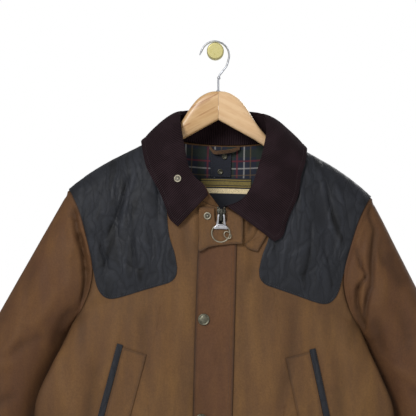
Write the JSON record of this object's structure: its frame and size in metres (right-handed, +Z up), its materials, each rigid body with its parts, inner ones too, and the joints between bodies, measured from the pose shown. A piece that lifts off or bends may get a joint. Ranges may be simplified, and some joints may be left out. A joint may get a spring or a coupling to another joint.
{
  "type": "waxed cotton jacket on a hanger and wall peg",
  "caption": "Waxed cotton jacket with dark shoulder patches, corduroy collar and stud-fastened storm fly over a zip, hung on a wooden hanger from a round wall peg",
  "frame": {"origin": "centre of the wall peg's flat back face, on the wall", "axes": "+X to the viewer's right, along the cuffs' span; +Y into the wall, so the jacket's front faces -Y; +Z up"},
  "size_m": [0.9778, 0.1446, 0.9421],
  "materials": {
    "waxed_cotton": "semi-matt, mottled olive-brown wax",
    "dark_waxed_cotton": "semi-matt charcoal wax",
    "corduroy": "fine ribbed pile, dark aubergine-brown",
    "check_lining": "matt woven check",
    "woven_label": "matt weave with plain bands",
    "brown_tape": "matt woven strap",
    "zip_tape": "matt woven tape",
    "peg_brass": "satin pale brass",
    "aged_brass": "worn pewter brass",
    "bright_steel": "polished",
    "pale_wood": "clear satin lacquer"
  },
  "bodies": {
    "jacket": {"front_left": "waxed_cotton", "front_right": "waxed_cotton", "back": "waxed_cotton", "sleeve_left": "waxed_cotton", "sleeve_right": "waxed_cotton", "storm_fly": "waxed_cotton", "throat_flap": "waxed_cotton", "throat_strap": "waxed_cotton", "pocket_welt_right": "waxed_cotton", "pocket_welt_left": "waxed_cotton", "shoulder_patch_right": "dark_waxed_cotton", "shoulder_patch_left": "dark_waxed_cotton", "pocket_binding_right": "dark_waxed_cotton", "pocket_binding_left": "dark_waxed_cotton", "collar_fall": "corduroy", "collar_stand": "corduroy", "lining_back": "check_lining", "hood_tab": "check_lining", "label": "woven_label", "hanging_loop": "brown_tape", "zip_tape": "zip_tape", "fly_stud_1": "aged_brass", "fly_stud_2": "aged_brass", "fly_stud_3": "aged_brass", "fly_stud_4": "aged_brass", "ring_stud_throat": "aged_brass", "ring_stud_collar": "aged_brass", "tab_stud_ring": "aged_brass", "tab_stud_brass": "aged_brass", "zip_slider": "bright_steel", "hanger_hook": "bright_steel", "hanger_left": "pale_wood", "hanger_right": "pale_wood", "wall_peg": "peg_brass"},
    "zip_puller": {"zip_puller": "bright_steel"},
    "zip_ring": {"zip_ring": "aged_brass"}
  },
  "joints": [
    {"name": "puller_swing", "type": "hinge", "parent": "jacket", "child": "zip_puller", "pos_m": [0.00903, -0.13802, -0.25154], "axis": [-0.9997, 0, 0.0244], "range_deg": [0, 120]},
    {"name": "ring_swing", "type": "hinge", "parent": "zip_puller", "child": "zip_ring", "pos_m": [0.00848, -0.13802, -0.27373], "axis": [-0.9997, 0, 0.0244], "range_deg": [0, 80]}
  ]
}
